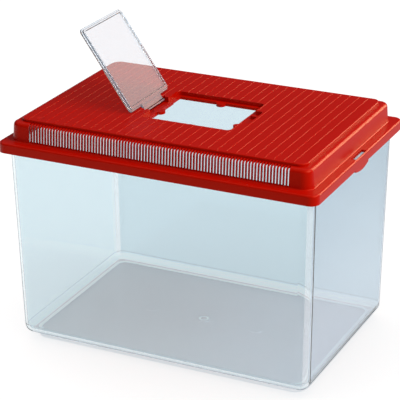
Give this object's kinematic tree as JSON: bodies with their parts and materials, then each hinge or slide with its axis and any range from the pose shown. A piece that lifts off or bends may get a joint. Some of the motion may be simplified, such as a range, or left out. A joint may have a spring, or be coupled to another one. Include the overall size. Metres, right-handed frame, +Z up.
{
  "type": "plastic pet keeper",
  "caption": "Clear box with a red clip-on lid, vent slots along its front and a clear hinged feeding hatch on top, for small animals.",
  "frame": {"origin": "middle of the tub's foot, on the surface that the keeper stands on", "axes": "+Z up, +X along the length with the hatch's hinge towards -X, and the vent slots face -Y"},
  "size_m": [0.3, 0.2062, 0.2833],
  "materials": {
    "clear_polystyrene": "clear moulded polystyrene, polished, with a faint blue tint",
    "red_polystyrene": "glossy moulded red plastic with a fine satin grain on the panel"
  },
  "bodies": {
    "tub": {"tub": "clear_polystyrene"},
    "lid": {"lid": "red_polystyrene"},
    "hatch": {"hatch": "clear_polystyrene"}
  },
  "joints": [
    {"name": "lid_lift", "type": "slide", "parent": "tub", "child": "lid", "axis": [0, 0, 1], "range_m": [0, 0.25]},
    {"name": "hatch_hinge", "type": "hinge", "parent": "lid", "child": "hatch", "pos_m": [-0.0459, -0.00315, 0.21], "axis": [0, 1, 0], "range_deg": [0, 125]}
  ]
}
